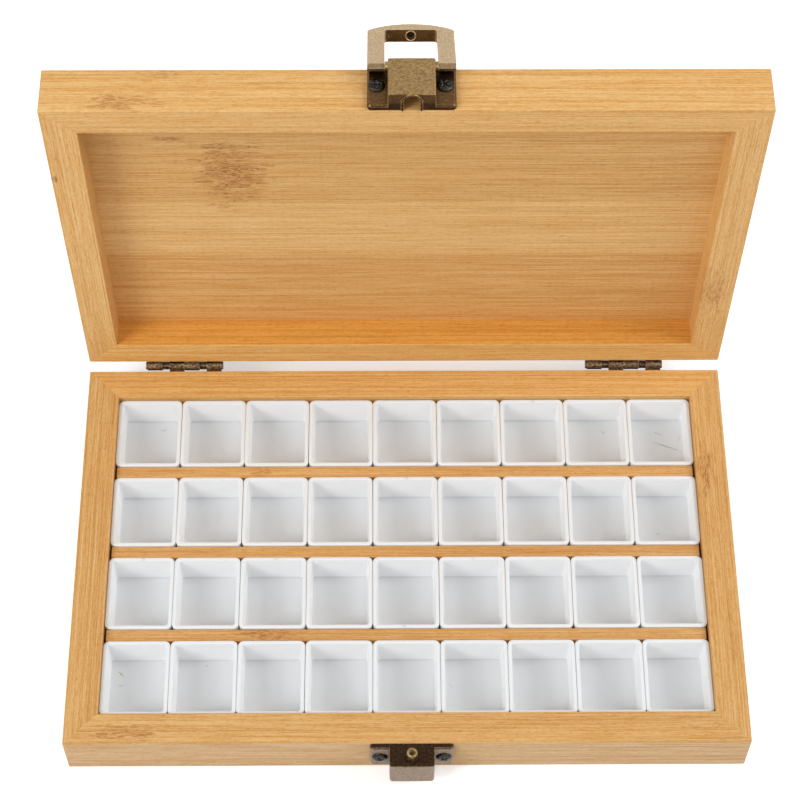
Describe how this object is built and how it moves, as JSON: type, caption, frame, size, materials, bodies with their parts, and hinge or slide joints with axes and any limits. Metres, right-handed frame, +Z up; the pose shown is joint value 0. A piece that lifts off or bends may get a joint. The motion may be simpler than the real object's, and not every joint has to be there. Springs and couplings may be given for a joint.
{
  "type": "watercolour paint box",
  "caption": "Hinged bamboo box for watercolour half pans, with removable plastic pans in rows between dividers and a loop latch that holds the lid shut.",
  "frame": {"origin": "middle of the flat underside of the base, which rests on the table", "axes": "+Z up out of the box, +X to the right as seen from the latch side, -Y the latch side and +Y the hinge side; the lid stands open at rest"},
  "size_m": [0.165, 0.1426, 0.1264],
  "materials": {
    "bamboo_wall": "satin lacquered bamboo, grain along each wall",
    "bamboo_panel": "satin lacquered bamboo, laminated strips",
    "bamboo_strip": "sanded bamboo strip",
    "white_pan": "semi-gloss moulded white plastic",
    "antique_bronze": "antique bronze plating, brushed bright on worn edges",
    "brass": "plain brass, slightly tarnished",
    "spring_steel": "bright steel"
  },
  "bodies": {
    "base": {"base_front_wall": "bamboo_wall", "base_back_wall": "bamboo_wall", "base_left_wall": "bamboo_wall", "base_right_wall": "bamboo_wall", "base_bottom_panel": "bamboo_panel", "row_dividers": "bamboo_strip", "hinge_base_leaves": "antique_bronze", "hinge_pins": "antique_bronze", "catch_body": "antique_bronze", "catch_locating_screw": "brass", "catch_detent_ball": "spring_steel"},
    "lid": {"lid_front_wall": "bamboo_wall", "lid_back_wall": "bamboo_wall", "lid_left_wall": "bamboo_wall", "lid_right_wall": "bamboo_wall", "lid_panel": "bamboo_panel", "hinge_lid_leaves": "antique_bronze", "latch_housing": "antique_bronze", "latch_pivot_pin": "antique_bronze"},
    "latch_loop": {"latch_loop": "antique_bronze"},
    "pan_r1_c1": {"pan_r1_c1": "white_pan"},
    "pan_r1_c2": {"pan_r1_c2": "white_pan"},
    "pan_r1_c3": {"pan_r1_c3": "white_pan"},
    "pan_r1_c4": {"pan_r1_c4": "white_pan"},
    "pan_r1_c5": {"pan_r1_c5": "white_pan"},
    "pan_r1_c6": {"pan_r1_c6": "white_pan"},
    "pan_r1_c7": {"pan_r1_c7": "white_pan"},
    "pan_r1_c8": {"pan_r1_c8": "white_pan"},
    "pan_r1_c9": {"pan_r1_c9": "white_pan"},
    "pan_r2_c1": {"pan_r2_c1": "white_pan"},
    "pan_r2_c2": {"pan_r2_c2": "white_pan"},
    "pan_r2_c3": {"pan_r2_c3": "white_pan"},
    "pan_r2_c4": {"pan_r2_c4": "white_pan"},
    "pan_r2_c5": {"pan_r2_c5": "white_pan"},
    "pan_r2_c6": {"pan_r2_c6": "white_pan"},
    "pan_r2_c7": {"pan_r2_c7": "white_pan"},
    "pan_r2_c8": {"pan_r2_c8": "white_pan"},
    "pan_r2_c9": {"pan_r2_c9": "white_pan"},
    "pan_r3_c1": {"pan_r3_c1": "white_pan"},
    "pan_r3_c2": {"pan_r3_c2": "white_pan"},
    "pan_r3_c3": {"pan_r3_c3": "white_pan"},
    "pan_r3_c4": {"pan_r3_c4": "white_pan"},
    "pan_r3_c5": {"pan_r3_c5": "white_pan"},
    "pan_r3_c6": {"pan_r3_c6": "white_pan"},
    "pan_r3_c7": {"pan_r3_c7": "white_pan"},
    "pan_r3_c8": {"pan_r3_c8": "white_pan"},
    "pan_r3_c9": {"pan_r3_c9": "white_pan"},
    "pan_r4_c1": {"pan_r4_c1": "white_pan"},
    "pan_r4_c2": {"pan_r4_c2": "white_pan"},
    "pan_r4_c3": {"pan_r4_c3": "white_pan"},
    "pan_r4_c4": {"pan_r4_c4": "white_pan"},
    "pan_r4_c5": {"pan_r4_c5": "white_pan"},
    "pan_r4_c6": {"pan_r4_c6": "white_pan"},
    "pan_r4_c7": {"pan_r4_c7": "white_pan"},
    "pan_r4_c8": {"pan_r4_c8": "white_pan"},
    "pan_r4_c9": {"pan_r4_c9": "white_pan"}
  },
  "joints": [
    {"name": "lid_hinge", "type": "hinge", "parent": "base", "child": "lid", "pos_m": [0, 0.05415, 0.01408], "axis": [-1, 0, 0], "range_deg": [-90, 0]},
    {"name": "loop_pivot", "type": "hinge", "parent": "lid", "child": "latch_loop", "pos_m": [0.0011, 0.06352, 0.12467], "axis": [-1, 0, 0], "range_deg": [-209.2, 0]},
    {"name": "pan_r1_c1_lift", "type": "slide", "parent": "base", "child": "pan_r1_c1", "axis": [0, 0, 1], "range_m": [0, 0.03]},
    {"name": "pan_r1_c2_lift", "type": "slide", "parent": "base", "child": "pan_r1_c2", "axis": [0, 0, 1], "range_m": [0, 0.03]},
    {"name": "pan_r1_c3_lift", "type": "slide", "parent": "base", "child": "pan_r1_c3", "axis": [0, 0, 1], "range_m": [0, 0.03]},
    {"name": "pan_r1_c4_lift", "type": "slide", "parent": "base", "child": "pan_r1_c4", "axis": [0, 0, 1], "range_m": [0, 0.03]},
    {"name": "pan_r1_c5_lift", "type": "slide", "parent": "base", "child": "pan_r1_c5", "axis": [0, 0, 1], "range_m": [0, 0.03]},
    {"name": "pan_r1_c6_lift", "type": "slide", "parent": "base", "child": "pan_r1_c6", "axis": [0, 0, 1], "range_m": [0, 0.03]},
    {"name": "pan_r1_c7_lift", "type": "slide", "parent": "base", "child": "pan_r1_c7", "axis": [0, 0, 1], "range_m": [0, 0.03]},
    {"name": "pan_r1_c8_lift", "type": "slide", "parent": "base", "child": "pan_r1_c8", "axis": [0, 0, 1], "range_m": [0, 0.03]},
    {"name": "pan_r1_c9_lift", "type": "slide", "parent": "base", "child": "pan_r1_c9", "axis": [0, 0, 1], "range_m": [0, 0.03]},
    {"name": "pan_r2_c1_lift", "type": "slide", "parent": "base", "child": "pan_r2_c1", "axis": [0, 0, 1], "range_m": [0, 0.03]},
    {"name": "pan_r2_c2_lift", "type": "slide", "parent": "base", "child": "pan_r2_c2", "axis": [0, 0, 1], "range_m": [0, 0.03]},
    {"name": "pan_r2_c3_lift", "type": "slide", "parent": "base", "child": "pan_r2_c3", "axis": [0, 0, 1], "range_m": [0, 0.03]},
    {"name": "pan_r2_c4_lift", "type": "slide", "parent": "base", "child": "pan_r2_c4", "axis": [0, 0, 1], "range_m": [0, 0.03]},
    {"name": "pan_r2_c5_lift", "type": "slide", "parent": "base", "child": "pan_r2_c5", "axis": [0, 0, 1], "range_m": [0, 0.03]},
    {"name": "pan_r2_c6_lift", "type": "slide", "parent": "base", "child": "pan_r2_c6", "axis": [0, 0, 1], "range_m": [0, 0.03]},
    {"name": "pan_r2_c7_lift", "type": "slide", "parent": "base", "child": "pan_r2_c7", "axis": [0, 0, 1], "range_m": [0, 0.03]},
    {"name": "pan_r2_c8_lift", "type": "slide", "parent": "base", "child": "pan_r2_c8", "axis": [0, 0, 1], "range_m": [0, 0.03]},
    {"name": "pan_r2_c9_lift", "type": "slide", "parent": "base", "child": "pan_r2_c9", "axis": [0, 0, 1], "range_m": [0, 0.03]},
    {"name": "pan_r3_c1_lift", "type": "slide", "parent": "base", "child": "pan_r3_c1", "axis": [0, 0, 1], "range_m": [0, 0.03]},
    {"name": "pan_r3_c2_lift", "type": "slide", "parent": "base", "child": "pan_r3_c2", "axis": [0, 0, 1], "range_m": [0, 0.03]},
    {"name": "pan_r3_c3_lift", "type": "slide", "parent": "base", "child": "pan_r3_c3", "axis": [0, 0, 1], "range_m": [0, 0.03]},
    {"name": "pan_r3_c4_lift", "type": "slide", "parent": "base", "child": "pan_r3_c4", "axis": [0, 0, 1], "range_m": [0, 0.03]},
    {"name": "pan_r3_c5_lift", "type": "slide", "parent": "base", "child": "pan_r3_c5", "axis": [0, 0, 1], "range_m": [0, 0.03]},
    {"name": "pan_r3_c6_lift", "type": "slide", "parent": "base", "child": "pan_r3_c6", "axis": [0, 0, 1], "range_m": [0, 0.03]},
    {"name": "pan_r3_c7_lift", "type": "slide", "parent": "base", "child": "pan_r3_c7", "axis": [0, 0, 1], "range_m": [0, 0.03]},
    {"name": "pan_r3_c8_lift", "type": "slide", "parent": "base", "child": "pan_r3_c8", "axis": [0, 0, 1], "range_m": [0, 0.03]},
    {"name": "pan_r3_c9_lift", "type": "slide", "parent": "base", "child": "pan_r3_c9", "axis": [0, 0, 1], "range_m": [0, 0.03]},
    {"name": "pan_r4_c1_lift", "type": "slide", "parent": "base", "child": "pan_r4_c1", "axis": [0, 0, 1], "range_m": [0, 0.03]},
    {"name": "pan_r4_c2_lift", "type": "slide", "parent": "base", "child": "pan_r4_c2", "axis": [0, 0, 1], "range_m": [0, 0.03]},
    {"name": "pan_r4_c3_lift", "type": "slide", "parent": "base", "child": "pan_r4_c3", "axis": [0, 0, 1], "range_m": [0, 0.03]},
    {"name": "pan_r4_c4_lift", "type": "slide", "parent": "base", "child": "pan_r4_c4", "axis": [0, 0, 1], "range_m": [0, 0.03]},
    {"name": "pan_r4_c5_lift", "type": "slide", "parent": "base", "child": "pan_r4_c5", "axis": [0, 0, 1], "range_m": [0, 0.03]},
    {"name": "pan_r4_c6_lift", "type": "slide", "parent": "base", "child": "pan_r4_c6", "axis": [0, 0, 1], "range_m": [0, 0.03]},
    {"name": "pan_r4_c7_lift", "type": "slide", "parent": "base", "child": "pan_r4_c7", "axis": [0, 0, 1], "range_m": [0, 0.03]},
    {"name": "pan_r4_c8_lift", "type": "slide", "parent": "base", "child": "pan_r4_c8", "axis": [0, 0, 1], "range_m": [0, 0.03]},
    {"name": "pan_r4_c9_lift", "type": "slide", "parent": "base", "child": "pan_r4_c9", "axis": [0, 0, 1], "range_m": [0, 0.03]}
  ]
}
